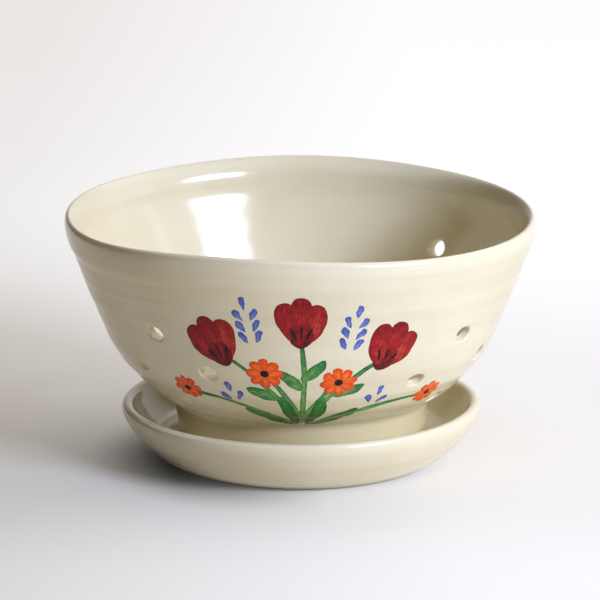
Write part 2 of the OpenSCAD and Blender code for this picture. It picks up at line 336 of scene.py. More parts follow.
# Turn and station of every hole in the wall. A side hole is an arc's length from its patch's middle, and its
# turn from there is that length over the radius
def patchHoles():
    places = []
    for turn, lift, tilt, lean, slip in drain["patches"]:
        z = drain["middle"] + lift * drain["pitch"]
        for row in (-1, 1):
            places.append((turn - row * lean, z + row * drain["pitch"]))
        reach = math.degrees(drain["side"] / radiusAt(stationAt(z)))
        for side in (-1, 1):
            places.append((turn + slip + side * reach, z + side * tilt * drain["pitch"]))
    return [(math.radians(turn - 90), stationAt(z)) for turn, z in places]


# Steps once round the edge of a square window in the wall, as columns and rows counted from its middle
def windowEdge(half):
    up = np.arange(-half, half)
    low = np.full(2 * half, -half)
    high = np.full(2 * half, half)
    return np.concatenate([low, up, high, -up]), np.concatenate([-up, low, up, high])


# One hole in the wall, as rings of points with the glaze's thinness on each: from the outer window's edge
# to an ellipse, over a rounded edge, through the wall, over the eased inner edge and out to the inner
# window's edge
def drainHole(holeTurn, holeStation, squareTurn, squareStation):
    phi = np.arctan2(squareStation - holeStation, (squareTurn - holeTurn) * radiusAt(holeStation))
    # small waves round the edge, no two holes alike
    wobble = 1 + sum(size * np.cos(k * phi + holeTurn * shift) for k, shift, size in bowl["holeWobbles"])

    def ring(reach, out):
        s = holeStation + reach * wobble * bowl["holeTall"] * np.sin(phi)
        r, z, lean = wallBase(s)
        across = reach * wobble * bowl["holeWide"] * np.cos(phi)
        return holeTurn + across / (r + out * np.cos(lean)), s

    radius, edge, innerEdge, thick = bowl["holeR"], bowl["holeEdge"], bowl["holeInnerEdge"], bowl["thick"]
    bends = np.linspace(0, np.pi / 2, bowl["edgeSteps"])
    # from the window to the hole the steps shorten a little
    blends = (np.arange(1, bowl["edgeSteps"]) / bowl["edgeSteps"]) ** 0.8
    steps = []
    for k in blends:
        turn, s = ring(radius + edge, 0)
        steps.append((squareTurn * (1 - k) + turn * k, squareStation * (1 - k) + s * k, 0.0, 0.0))
    for bend in bends:
        out = -edge * (1 - math.cos(bend))
        steps.append((*ring(radius + edge * (1 - math.sin(bend)), out), out, 0.5 * math.sin(bend)))
    for k in (0.25, 0.5, 0.75):
        out = -edge + (edge + innerEdge - thick) * k
        steps.append((*ring(radius, out), out, 0.3))
    for bend in bends[::-1]:
        out = -thick + innerEdge * (1 - math.cos(bend))
        steps.append((*ring(radius + innerEdge * (1 - math.sin(bend)), out), out, 0.5 * math.sin(bend)))
    for k in blends[::-1]:
        turn, s = ring(radius + innerEdge, -thick)
        s = squareStation * (1 - k) + s * k
        steps.append((squareTurn * (1 - k) + turn * k, s, -wallThick(s), 0.0))
    return np.array([onWall(*step[:3]) for step in steps]), [step[3] for step in steps]


# One hole in the floor, as rings from its rounded edge at the top down to the one underneath
def floorHole(x, y):
    bend = np.linspace(0, np.pi / 2, bowl["edgeSteps"])[:, None]
    phi = np.arange(bowl["floorHoleColumns"]) * 2 * np.pi / bowl["floorHoleColumns"]
    reach = bowl["holeR"] + bowl["holeEdge"] * (1 - np.sin(bend))
    drop = bowl["holeEdge"] * (1 - np.cos(bend))
    reach = np.concatenate([reach, reach[::-1]])
    z = np.concatenate([bowl["floorZ"] - drop, bowl["underZ"] + drop[::-1]])
    return np.stack([x + reach * np.cos(phi), y + reach * np.sin(phi), z + 0 * phi], axis=-1)


# The half section of the foot ring, from under the floor round the ring and up to the belly
def footLine():
    r, z, lean = wallBase(bowl["footJoin"])
    corners = [(bowl["footStart"], bowl["underZ"]), (bowl["footInner"], bowl["underZ"]),
               (bowl["footInner"], bowl["footZ"]), (bowl["footOuter"], bowl["footZ"]),
               bowl["footBend"], (float(r), float(z))]
    return rounded(corners, bowl["footRounds"])[:-1]


# Point of the inner face: the wall's thickness in from the outer face, at right angles to it
def innerPoint(s):
    r, z, lean = wallBase(s)
    return np.array([r - wallThick(s) * math.cos(lean), z + wallThick(s) * math.sin(lean)])


# The half section of the lip: up from the outer face to the level peak, and down to the inner face
def lipLine():
    peak = np.array(bowl["peak"])
    r, z, lean = (float(v) for v in wallBase(stations[-1 - bowl["rollRows"]]))
    outward = np.array([math.sin(lean), math.cos(lean)])
    outside = rollLine(np.array([r, z]), outward, peak, bowl["rollRound"], 14)
    joint, below = (innerPoint(s) for s in (innerStations[-1], innerStations[-1] - 0.2))
    upward = (joint - below) / np.linalg.norm(joint - below)
    inside = rollLine(joint, upward, peak, bowl["lipRound"], 16)
    return np.concatenate([outside[1:], inside[-2:0:-1]])


# The bowl as one closed skin: rows round the foot, wall, lip and inner face, holes in the wall, and a floor
# that is pierced too
def buildBowl(material):
    n = bowl["columns"]
    turn = np.arange(n) * 2 * np.pi / n
    foot = footLine()
    lip = lipLine()
    up = stations[:-bowl["rollRows"], None]
    floorStations = np.linspace(bowl["footJoin"], bowl["floorStation"], bowl["floorRows"])[1:]
    down = np.concatenate([innerStations[::-1], floorStations])[:, None]
    rows = np.concatenate([turnLine(turn, foot), onWall(turn, up, 0.0), turnLine(turn, lip),
                           onWall(turn, down, -wallThick(down))])
    index = np.arange(len(rows) * n).reshape(-1, n)
    # bare clay where the foot ring stands, and glaze that runs thin over the lip, paler there and just
    # inside the lip, which is also a painted sheen
    bareFoot = smooth((bowl["footZ"] + bowl["bareRise"] - foot[:, 1]) / bowl["bareFade"])
    for side in (bowl["footOuter"] - foot[:, 0], foot[:, 0] - bowl["footInner"]):
        bareFoot = bareFoot * smooth((side + bowl["bareSide"]) / bowl["bareSideFade"])
    lipThinGlazeAndSheen = smooth((lip[:, 1] - bowl["thinHigh"]) / bowl["thinFade"])
    lipThinGlazeAndSheen = bowl["thinGlazeAndSheenShare"] + (1 - bowl["thinGlazeAndSheenShare"]) * lipThinGlazeAndSheen
    innerLipThinGlazeAndSheen = smooth((down[:, 0] - innerStations[-1]) / bowl["innerLipThinGlazeAndSheen"] + 1) * bowl["thinGlazeAndSheenShare"]
    parts = [rows.reshape(-1, 3)]
    thinParts = [np.repeat(np.concatenate([np.zeros(len(foot) + len(up)), lipThinGlazeAndSheen, innerLipThinGlazeAndSheen]), n)]

    # adds rings of points to the bowl's and gives their places in it
    def keepRings(rings, thinness):
        first = sum(len(part) for part in parts)
        parts.append(rings.reshape(-1, 3))
        thinParts.append(np.repeat(thinness, rings.shape[1]))
        return first + np.arange(len(parts[-1])).reshape(rings.shape[:2])

    # each hole takes a square window out of both faces, and its rings join the two windows' edges
    quads = []
    left = np.zeros((len(rows) - 1, n), dtype=bool)
    half = bowl["holeWindow"]
    columns, lifts = windowEdge(half)
    lowInside = len(foot) + len(up) + len(lip) + len(innerStations) - 1
    for holeTurn, holeStation in patchHoles():
        column = round(holeTurn / (2 * np.pi) * n)
        row = round((holeStation - stations[0]) / (stations[1] - stations[0]))
        across = np.arange(column - half, column + half) % n
        left[np.ix_(len(foot) + row + np.arange(-half, half), across)] = True
        left[np.ix_(lowInside - 1 - row - np.arange(-half, half), across)] = True
        squareTurn = (column + columns) * 2 * np.pi / n
        rings = keepRings(*drainHole(holeTurn, holeStation, squareTurn, stations[row + lifts]))
        outerEdge = index[len(foot) + row + lifts, (column + columns) % n]
        innerEdge = index[lowInside - row - lifts, (column + columns) % n]
        quads.append(ringQuads(np.vstack([outerEdge, rings, innerEdge])))
    quads.append(ringQuads(index, left))

    # the floor has one hole in the middle and the others round it
    topLoops = []
    underLoops = []
    around = [math.radians(90 + 360 * i / bowl["floorHoles"]) for i in range(bowl["floorHoles"])]
    for reach, a in [(0, 0)] + [(bowl["floorHoleReach"], a) for a in around]:
        holePoints = floorHole(reach * math.cos(a), reach * math.sin(a))
        rings = keepRings(holePoints, np.full(len(holePoints), bowl["thinFloorHole"]))
        quads.append(ringQuads(rings[::-1]))
        topLoops.append(rings[0])
        underLoops.append(rings[-1])
    points = np.concatenate(parts)
    points[index[-1], 2] = bowl["floorZ"]
    topFaces, topSpare = flatFace(points, index[-1], topLoops, bowl["floorStep"])
    points = np.concatenate([points, topSpare])
    underFaces, underSpare = flatFace(points, index[0], underLoops, bowl["underStep"])
    points = np.concatenate([points, underSpare])

    bare = np.zeros(len(points))
    bare[:len(foot) * n] = np.repeat(bareFoot, n)
    thinGlazeAndSheen = np.zeros(len(points))
    thinGlazeAndSheen[:-len(topSpare) - len(underSpare)] = np.concatenate(thinParts)
    # painted warm shade, full at the foot and fading out up the wall
    footWarmShade = smooth((bowl["footShadeHigh"] - points[:, 2]) / bowl["footShadeFade"])
    groups = [np.concatenate(quads), np.concatenate([topFaces, underFaces[:, ::-1]])]
    return addMesh("bowl_body", points, groups, material, {"bare": bare, "thinGlazeAndSheen": thinGlazeAndSheen, "footWarmShade": footWarmShade})


# The saucer's half section: foot ring, belly circle, slope, curve under the lip, lip, well and floor
saucer = {
    "columns": 360, "thick": 5.0, "lean": math.radians(46), "lipLean": math.radians(22),
    "footInner": 44.5, "footOuter": 51.5, "footBend": (55.0, 1.67), "footRounds": [1.2, 0.8, 0.9],
    "bellyCentre": (49.225, 16.6), "bellyR": 16.0, "bellyStart": math.radians(68.9),
    "shoulderCentre": (44.502, 31.502), "shoulderR": 30.0, "shoulderSteps": 13,
    "lipCentre": (70.0, 21.2), "lipR": 2.5, "rollSteps": 2, "rollRound": 0.56,
    "wellCentre": (55.398, 17.0), "wellR": 7.0, "floorZ": 10.0, "roofZ": 4.0, "poleR": 0.6,
    "ringPitch": 7.1, "ringHeight": 0.035, "ringLow": 1.5, "ringR": 58.0, "ringFade": 3.0,
    "floorRingPitch": 9.0, "floorRingDepth": 0.05, "floorRingR": 56.0, "floorRingFade": 4.0,
    "floorRingLow": 8.0, "poleFade": 8.0,
    "riseLow": 6.0, "riseSpan": 17.0, "upWaves": [(2, 0.22, 0.7), (3, 0.12, -1.0)],
    "outWaves": [(2, 0.25, -1.2), (3, 0.1, -math.pi / 2)],
    "bareZ": 1.0, "bareFade": 0.5, "bareR": 52.0, "thinZ": 21.0, "thinFade": 1.5,
}


# Its points, from under the middle to the top of the floor. The lip is a cubic curve that leaves the
# shoulder some steps before its end, then a circle down inside
def saucerSection():
    lean, lip = saucer["lean"], saucer["lipLean"]
    steps, cut = saucer["shoulderSteps"], saucer["rollSteps"]
    corners = [(saucer["poleR"], saucer["roofZ"]), (saucer["footInner"], saucer["roofZ"]),
               (saucer["footInner"], 0), (saucer["footOuter"], 0), saucer["footBend"]]
    foot = rounded(corners, saucer["footRounds"])
    belly = arcLine(saucer["bellyCentre"], saucer["bellyR"], saucer["bellyStart"], lean, 12)
    shoulder = arcLine(saucer["shoulderCentre"], saucer["shoulderR"], lean, lip, steps + 1)
    slope = np.linspace(belly[-1], shoulder[0], 6)[1:-1]
    leave = lean + (lip - lean) * (steps - cut) / steps
    peak = np.array(saucer["lipCentre"]) + (0, saucer["lipR"])
    outward = np.array([math.sin(leave), math.cos(leave)])
    roll = rollLine(shoulder[-1 - cut], outward, peak, saucer["rollRound"], 14)[1:]
    rim = arcLine(saucer["lipCentre"], saucer["lipR"], -math.pi / 2, lip - math.pi, 9)[1:-1]
    inner = arcLine(saucer["shoulderCentre"], saucer["shoulderR"] - saucer["thick"], lip, lean, steps + 1)
    well = arcLine(saucer["wellCentre"], saucer["wellR"], lean, math.pi / 2, 12)
    innerSlope = np.linspace(inner[-1], well[0], 6)[1:-1]
    wellFloor = np.linspace(well[-1], (saucer["poleR"], saucer["floorZ"]), 26)[1:]
    outer = [foot[:-1], belly, slope, shoulder[:-cut], roll]
    return np.concatenate(outer + [rim, inner, innerSlope, well, wellFloor])


# The section turned round its axis, with throwing rings: sine waves along the section, off its normal
def buildSaucer(material):
    n = saucer["columns"]
    turn = np.arange(n) * 2 * np.pi / n
    line = saucerSection()
    r, z = line[:, :1], line[:, 1:]
    along = np.concatenate([[0], np.cumsum(np.linalg.norm(np.diff(line, axis=0), axis=1))])[:, None]
    tangent = np.gradient(line, axis=0)
    tangent /= np.linalg.norm(tangent, axis=1)[:, None]
    ringShare = smooth((z - saucer["ringLow"]) / saucer["ringFade"])
    ringShare = ringShare * smooth((r - saucer["ringR"]) / saucer["ringFade"])
    floorShare = smooth((saucer["floorRingR"] - r) / saucer["floorRingFade"])
    floorShare = floorShare * (z > saucer["floorRingLow"]) * smooth(r / saucer["poleFade"])
    wave = np.sin(2 * np.pi * along / saucer["ringPitch"] + turn + 0.4 * np.sin(2 * turn))
    floorWave = 1 + np.sin(2 * np.pi * along / saucer["floorRingPitch"] + turn)
    wave = saucer["ringHeight"] * wave * ringShare - saucer["floorRingDepth"] * floorWave * floorShare
    # the rim is a little out of true too: each wave has its count of crests, its size and its phase
    rise = np.clip((z - saucer["riseLow"]) / saucer["riseSpan"], 0, 1) ** 2
    up, out = (rise * sum(size * np.cos(k * turn + phase) for k, size, phase in saucer[key])
               for key in ("upWaves", "outWaves"))
    rows = turned(turn, r + wave * tangent[:, 1:] + out, z - wave * tangent[:, :1] + up)
    index = np.arange(len(rows) * n).reshape(-1, n)
    poles = [[0, 0, saucer["roofZ"]], [0, 0, saucer["floorZ"]]]
    points = np.concatenate([rows.reshape(-1, 3), poles])
    low = np.column_stack([np.roll(index[0], -1), index[0], np.full(n, index.size)])
    high = np.column_stack([index[-1], np.roll(index[-1], -1), np.full(n, index.size + 1)])
    bare = smooth((saucer["bareZ"] - line[:, 1]) / saucer["bareFade"]) * (line[:, 0] < saucer["bareR"])
    # thin glaze over the lip, whose paler colour also paints a sheen there
    thinGlazeAndSheen = smooth((line[:, 1] - saucer["thinZ"]) / saucer["thinFade"])
    values = {"bare": np.append(np.repeat(bare, n), [0, 0]), "thinGlazeAndSheen": np.append(np.repeat(thinGlazeAndSheen, n), [0, 0])}
    groups = [ringQuads(index), np.concatenate([low, high])]
    return addMesh("saucer_body", points, groups, material, values)


# The glaze: the sizes in millimetres of its clouds of thicker glaze, of the clay's flecks and of a slight
# swell, its colours, and the share of those that lie over it. Its thin colour is thin glaze with a painted
# sheen on the lip, and its pool colour a painted warm shade towards the foot
glaze = {
    "cloudSize": 35.7, "fleckSize": 1.111, "swellSize": 9.09, "swellHeight": 0.1,
    "thick": "#e2dabc", "even": "#e8e2c8", "fleck": "#cbb98f", "thinGlazeAndSheen": "#e0dac6", "pool": "#d6bd7c",
    "clay": "#c9b491", "fleckShare": 0.10, "thinGlazeAndSheenShare": 0.35, "footShadeShare": 0.5,
}


# Glazed stoneware, dipped and fired: a glassy warm cream with soft clouds and faint flecks, paler where it
# runs thin over an edge and as a painted sheen on the lip, golden towards the foot as a painted warm shade,
# and dull buff clay where it is wiped off
def stonewareMaterial():
    material = newMaterial("glazed stoneware")
    tree = material.node_tree
    place = addNode(tree, "TexCoord").outputs["Object"]
    cloud = addNode(tree, "TexNoise", {"Scale": 1 / (glaze["cloudSize"] * mm), "Detail": 3,
                                       "Roughness": 0.5}, {"Vector": place})
    ramp = addNode(tree, "ValToRGB", {}, {"Fac": cloud})
    ramp.color_ramp.elements[0].color = toLinear(glaze["thick"])
    ramp.color_ramp.elements[0].position = 0.3
    ramp.color_ramp.elements[1].color = toLinear(glaze["even"])
    ramp.color_ramp.elements[1].position = 0.7
    colour = ramp.outputs["Color"]
    grain = addNode(tree, "TexNoise", {"Scale": 1 / (glaze["fleckSize"] * mm), "Detail": 2,
                                       "Roughness": 0.6}, {"Vector": place})
    flecks = addNode(tree, "MapRange", {1: 0.3, 2: 0.7, 3: 0.0, 4: glaze["fleckShare"]}, {0: grain})
    thinGlazeAndSheen = addNode(tree, "Attribute", {"attribute_name": "thinGlazeAndSheen"}).outputs["Fac"]
    thinGlazeAndSheenShare = addNode(tree, "Math", {"operation": "MULTIPLY", 1: glaze["thinGlazeAndSheenShare"]}, {0: thinGlazeAndSheen})
    footWarmShade = addNode(tree, "Attribute", {"attribute_name": "footWarmShade"}).outputs["Fac"]
    footShadeShare = addNode(tree, "Math", {"operation": "MULTIPLY", 1: glaze["footShadeShare"]}, {0: footWarmShade})
    bare = addNode(tree, "Attribute", {"attribute_name": "bare"}).outputs["Fac"]
    # each layer lies over the one before: flecks, thin glaze with a painted sheen, painted warm shade, clay
    for key, share in (("fleck", flecks), ("thinGlazeAndSheen", thinGlazeAndSheenShare), ("pool", footShadeShare), ("clay", bare)):
        colour = addNode(tree, "Mix", {"data_type": "RGBA", 7: toLinear(glaze[key])},
                         {0: share, 6: colour}).outputs[2]
    rough = addNode(tree, "MapRange", {1: 0.0, 2: 1.0, 3: 0.15, 4: 0.75}, {0: bare})
    swell = addNode(tree, "TexNoise", {"Scale": 1 / (glaze["swellSize"] * mm), "Detail": 1.5,
                                       "Roughness": 0.4}, {"Vector": place})
    bump = addNode(tree, "Bump", {"Strength": 0.35, "Distance": glaze["swellHeight"] * mm},
                   {"Height": swell})
    shader = addNode(tree, "BsdfPrincipled", {"IOR": 1.5},
                     {"Base Color": colour, "Roughness": rough, "Normal": bump})
    addNode(tree, "OutputMaterial", {}, {"Surface": shader})
    return material


# A brush's marks in millimetres: streaks of its hairs, across and along the stroke, and blots of wet
# pigment, with how far each pulls the pigment up or down
brush = {"streakWidth": 0.667, "streakLength": 6.25, "streakPull": 0.2, "blotSize": 2.86, "blotPull": 0.12}


# Underglaze: watery brushed pigment under the clear glaze, pale where the brush ran dry, dark at its edge
def underglazeMaterial(name, pale, middle, deep):
    material = newMaterial(name)
    tree = material.node_tree
    uv = addNode(tree, "UVMap", {"uv_map": "StrokeUV"}).outputs["UV"]
    perUnit = (1 / brush["streakWidth"], 1 / brush["streakLength"], 1)
    lengthwise = addNode(tree, "Mapping", {"Scale": perUnit}, {"Vector": uv})
    streak = addNode(tree, "TexNoise", {"Scale": 1.0, "Detail": 3, "Roughness": 0.6}, {"Vector": lengthwise})
    blot = addNode(tree, "TexNoise", {"Scale": 1 / brush["blotSize"], "Detail": 2, "Roughness": 0.5},
                   {"Vector": uv})
    amount = addNode(tree, "Attribute", {"attribute_name": "pigment"}).outputs["Fac"]
    for noise, pull in ((streak, brush["streakPull"]), (blot, brush["blotPull"])):
        marks = addNode(tree, "MapRange", {1: 0.3, 2: 0.7, 3: -pull, 4: pull}, {0: noise})
        amount = addNode(tree, "Math", {"operation": "ADD"}, {0: amount, 1: marks})
    ramp = addNode(tree, "ValToRGB", {}, {"Fac": amount})
    ramp.color_ramp.elements[0].color = toLinear(pale)
    ramp.color_ramp.elements[0].position = 0.05
    ramp.color_ramp.elements[1].color = toLinear(deep)
    ramp.color_ramp.elements[1].position = 0.95
    centre = ramp.color_ramp.elements.new(0.5)
    centre.color = toLinear(middle)
    shader = addNode(tree, "BsdfPrincipled", {"IOR": 1.5, "Roughness": 0.12, "Specular IOR Level": 0.22},
                     {"Base Color": ramp})
    addNode(tree, "OutputMaterial", {}, {"Surface": shader})
    return material


# The spray on the wall, in millimetres, with each stroke's lift off the wall and its edge's sink into the
# glaze
spray = {
    "low": 26.98, "height": 38.0, "tulipL": 24.0, "petalW": 9.5, "daisyD": 15.0, "rayW": 4.4, "eyeD": 4.0,
    "dabL": 7.0, "dabW": 3.0, "stemW": 2.3, "leafL": 14.0, "leafW": 5.5, "bladeL": 24.0, "bladeW": 6.0,
    "stamenL": 7.2, "stamenW": 1.5, "rays": 8, "lift": 0.035, "liftStep": 0.004, "sink": 0.02,
}
# where each flower or leaf grows: its turn from the front in degrees, its height as a share of the spray's,
# and its tilt in degrees, then a daisy's size, or a sprig's pairs of dabs and their size
tulips = [(0, 1, 0), (-21, 0.76, 20), (22, 0.72, -20)]
daisies = [(-10.5, 0.7, 0, 1), (11, 0.6, 10, 1), (-38, 0.43, 5, 0.85), (46, 0.32, 0, 0.85)]
sprigs = [(-13, 1.05, 8, 3, 0.9), (13, 0.98, -8, 3, 0.9),
          (-21.5, 0.35, 10, 1, 0.85), (24, 0.3, -10, 1, 0.85)]
blades = [(-3, 0.01, 52), (3, 0.01, -52), (-1.5, 0.02, 16), (1.5, 0.02, -16)]
leaves = [(0, 0.5, 42), (0, 0.62, -42), (-7.2, 0.38, 64), (9.5, 0.43, -64)]
# each stem's low and high end, and its bulge to one side as a share of its length
stems = [((0, 0), (0, 1.02), 0.02), ((-2, 0), (-21, 0.78), 0.1), ((2, 0), (22, 0.74), -0.1),
         ((-1, 0.1), (-10.5, 0.66), 0.06), ((1, 0.1), (11, 0.56), -0.06),
         ((-4, 0), (-38, 0.38), 0.12), ((4, 0), (46, 0.28), -0.12)]
# how wide a stroke is along its length: power of the way from the root, then power of the way to the tip
strokeShapes = {"petal": (0.62, 0.42), "ray": (0.55, 0.45), "leaf": (0.6, 0.62), "dab": (0.8, 0.4),
                "stem": (0.06, 0.06), "blade": (0.75, 0.55)}
chance = np.random.default_rng(11)


# A point turned by some degrees about the origin
def spun(x, y, angle):
    c, n = math.cos(math.radians(angle)), math.sin(math.radians(angle))
    return x * c - y * n, x * n + y * c


# What every stroke has: the spacing of its points in millimetres, the waves of its sides, the ease of its
# edge, and the pigment that gathers along the rim and is wiped off the middle
strokeForm = {
    "step": 0.45, "across": 13, "wavyShare": 0.10, "wavyMost": 0.3, "edgeEase": 0.3,
    "rimWidth": 0.35, "rimPigment": 0.32, "wipeWidth": 0.45, "wipePigment": 0.18, "poolFrom": 0.45,
}


# One brush stroke as a grid of points on the wall, along and across. It is as wide as the product of two
# powers of the way along, with wavy sides, and it is a thin skin that sinks into the glaze at its edge
def brushStroke(place, root, angle, length, width, shape, bend, load, pool, order):
    turnDeg, share, tilt = place
    rows = int(np.clip(round(length / strokeForm["step"]), 10, 90))
    t = np.linspace(0.003, 0.997, rows)[:, None]
    v = np.linspace(-1, 1, strokeForm["across"])[None, :]
    a, b = strokeShapes[shape]
    widest = a / (a + b)
    half = width / 2 * (t ** a * (1 - t) ** b) / (widest ** a * (1 - widest) ** b)
    phases = chance.uniform(0, 2 * np.pi, 4)
    rough = min(strokeForm["wavyMost"], strokeForm["wavyShare"] * width) / width * 2
    lowSide = 1 + rough * np.sin(5 * t + phases[0]) + 0.5 * rough * np.sin(13 * t + phases[1])
    highSide = 1 + rough * np.sin(6 * t + phases[2]) + 0.5 * rough * np.sin(11 * t + phases[3])
    half = half * np.where(v < 0, lowSide, highSide)
    x, y = spun(bend * length * 4 * t * (1 - t) + v * half, length * t + 0 * v, angle)
    x, y = spun(root[0] + x, root[1] + y, tilt)
    s = stationAt(spray["low"] + share * spray["height"]) + y
    turn = math.radians(turnDeg - 90) + x / wallBase(s)[0]
    edge = np.minimum((1 - np.abs(v)) * half, np.minimum(t, 1 - t) * length)
    lift = spray["lift"] + spray["liftStep"] * order
    out = -spray["sink"] + (lift + spray["sink"]) * smooth(edge / strokeForm["edgeEase"])
    # pigment gathers along the edge and is wiped thin down the middle
    rim = np.exp(-(edge / strokeForm["rimWidth"]) ** 1.5)
    wiped = np.exp(-(v / strokeForm["wipeWidth"]) ** 2) * (1 - np.abs(2 * t - 1))
    pigment = load + pool * (t - strokeForm["poolFrom"])
    pigment = pigment + strokeForm["rimPigment"] * rim - strokeForm["wipePigment"] * wiped
    offset = chance.uniform(0, 60, 2)
    uv = np.stack([v * half + offset[0], length * t + 0 * v + offset[1]], axis=-1)
    return onWall(turn, s, out), pigment, uv


# All the strokes of one colour as one piece
def addStrokes(name, strokes, first, material):
    parts, pigments, uvs, quads = [], [], [], []
    total = 0
    for i, stroke in enumerate(strokes):
        points, pigment, uv = brushStroke(*stroke, order=first + i % 9)
        index = total + np.arange(pigment.size).reshape(pigment.shape)
        corner = [index[:-1, :-1], index[:-1, 1:], index[1:, 1:], index[1:, :-1]]
        quads.append(np.stack(corner, axis=-1).reshape(-1, 4))
        parts.append(points.reshape(-1, 3))
        pigments.append(pigment.ravel())
        uvs.append(uv.reshape(-1, 2))
        total += index.size
    return addMesh(name, np.concatenate(parts), [np.concatenate(quads)], material,
                   {"pigment": np.concatenate(pigments)}, np.concatenate(uvs))


# Each stroke that the functions below list is its place, root, angle, length, width, shape, bend, the load
# of pigment, and how much of it pools towards the tip. A stem is one stroke between its two ends
def stemStroke(low, high, bulge):
    middle = ((low[0] + high[0]) / 2, (low[1] + high[1]) / 2)
    ends = (low, middle, high)
    sLow, sMid, sHigh = (stationAt(spray["low"] + end[1] * spray["height"]) for end in ends)
    dx = math.radians(high[0] - low[0]) * radiusAt(sMid)
    dy = sHigh - sLow
    length = math.hypot(dx, dy)
    tilt = -math.degrees(math.atan2(dx, dy))
    return ((*middle, tilt), (0, -length / 2), 0, length, spray["stemW"], "stem", bulge, 0.4, 0.35)


# The stems, the leaves on them and the long blades at the foot
def leafStrokes():
    strokes = [stemStroke(*stem) for stem in stems]
    for place in leaves:
        strokes.append((place, (0, 0), 0, spray["leafL"], spray["leafW"], "leaf", 0.04, 0.5, 0.3))
    for place in blades:
        strokes.append((place, (0, 0), 0, spray["bladeL"], spray["bladeW"], "blade", 0.03, 0.72, -0.35))
    return strokes


# Dabs in pairs up each sprig, and one at its tip
def sprigStrokes():
    strokes = []
    for *place, pairs, size in sprigs:
        length, width = spray["dabL"] * size, spray["dabW"] * size
        for i in range(pairs):
            for side in (-1, 1):
                root = (side * width * 0.55, i * length * 0.8)
                strokes.append((place, root, -side * 28, length, width, "dab", 0.02 * side, 0.5, 0.25))
        strokes.append((place, (0, pairs * length * 0.8), 0, length, width, "dab", 0.0, 0.5, 0.25))
    return strokes


# Each tulip's petals: one to each side, one upright between them, and a short wide one that holds them
def tulipStrokes():
    cup, tall = spray["petalW"], spray["tulipL"]
    strokes = []
    for place in tulips:
        strokes += [
            (place, (-0.16 * cup, 0.1 * tall), 17, 0.82 * tall, cup, "petal", -0.03, 0.6, 0.2),
            (place, (0.16 * cup, 0.1 * tall), -17, 0.8 * tall, cup, "petal", 0.03, 0.5, 0.2),
            (place, (0, 0.2 * tall), 0, 0.8 * tall, cup, "petal", 0.0, 0.62, 0.25),
            (place, (0, 0.0), 0, 0.5 * tall, 1.15 * cup, "petal", 0.0, 0.85, -0.3),
        ]
    return strokes


# Rays spaced evenly round each daisy's middle
def daisyStrokes():
    strokes = []
    for *place, size in daisies:
        length, width = (spray["daisyD"] / 2 - 1) * size, spray["rayW"] * size
        for i in range(spray["rays"]):
            angle = 360 * i / spray["rays"]
            strokes.append((place, spun(0, 1, angle), angle, length, width, "ray", 0.0, 0.5, 0.2))
    return strokes


# The daisies' eyes, each three crossed dabs, and the stamens of the tulips
def centreStrokes():
    strokes = []
    for *place, size in daisies:
        eye = spray["eyeD"] * size
        for angle in (0, 90, 45):
            root = spun(0, -0.5 * eye, angle)
            strokes.append((place, root, angle, eye, eye * 0.8, "ray", 0.0, 0.7, 0.1))
    for place in tulips:
        for angle in (-24, 0, 24):
            root = spun(0, spray["stamenL"] / 2, angle)
            strokes.append((place, root, angle, spray["stamenL"], spray["stamenW"], "dab", 0.0, 0.7, 0.1))
    return strokes


stoneware = stonewareMaterial()
bowlBody = buildBowl(stoneware)
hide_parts("colander_bowl")
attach(bowlBody, "bowl")
print("bowl built")

saucerBody = buildSaucer(stoneware)
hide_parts("saucer")
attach(saucerBody, "saucer")
print("saucer built")

# each colour's piece, node, slot, strokes, order of its first stroke, and its pale, middle and deep colours
painted = [
    ("leaf_strokes", "painted_leaves", "green_underglaze", leafStrokes(), 0,
     ("#8dbb6a", "#3a8440", "#124a26")),
    ("sprig_strokes", "painted_sprigs", "blue_underglaze", sprigStrokes(), 10,
     ("#94a0dc", "#5468bc", "#303c86")),
    ("tulip_strokes", "painted_tulips", "red_underglaze", tulipStrokes(), 20,
     ("#c95a42", "#a0141a", "#5c060c")),
    ("daisy_strokes", "painted_daisies", "orange_underglaze", daisyStrokes(), 30,
     ("#ff9a4a", "#f4560c", "#bc2c04")),
    ("centre_strokes", "painted_centres", "black_underglaze", centreStrokes(), 40,
     ("#3a3230", "#171314", "#080607")),
]
for name, node, slot, strokes, first, colours in painted:
    piece = addStrokes(name, strokes, first, underglazeMaterial(slot.replace("_", " "), *colours))
    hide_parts(node)
    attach(piece, "bowl")
print("spray painted")

# The paper's ranges, in metres from the axis: from where to where, and the values there. The shade is a
# painted shadow beside the saucer, the dim part a painted shade on the light it bounces, and the glow
# a painted glow
paper = {
    "shadeNear": (0.046, 0.092, 1.0, 0.0), "shadeLeft": (-0.05, 0.01, 1.0, 0.0),
    "dimNear": (0.055, 0.15, 1.0, 0.0), "dimLeft": (-0.09, -0.035, 1.0, 0.0),
    "glowBack": (-0.1, 0.5, 0.15, 0.57), "glowRight": (-0.15, 0.06, -0.07, 0.125),
    "glowClear": (0.05, 0.13, -0.035, 0.06), "glowFront": (-0.17, -0.05, 0.09, 0.0),
    "bounce": (0.9, 0.855, 0.765, 1), "dimBounce": (0.08, 0.07, 0.05, 1),
    "tone": (0.68, 0.67, 0.655, 1), "shadeTone": (0.09, 0.06, 0.035, 1), "glow": "#f4f8ff",
}
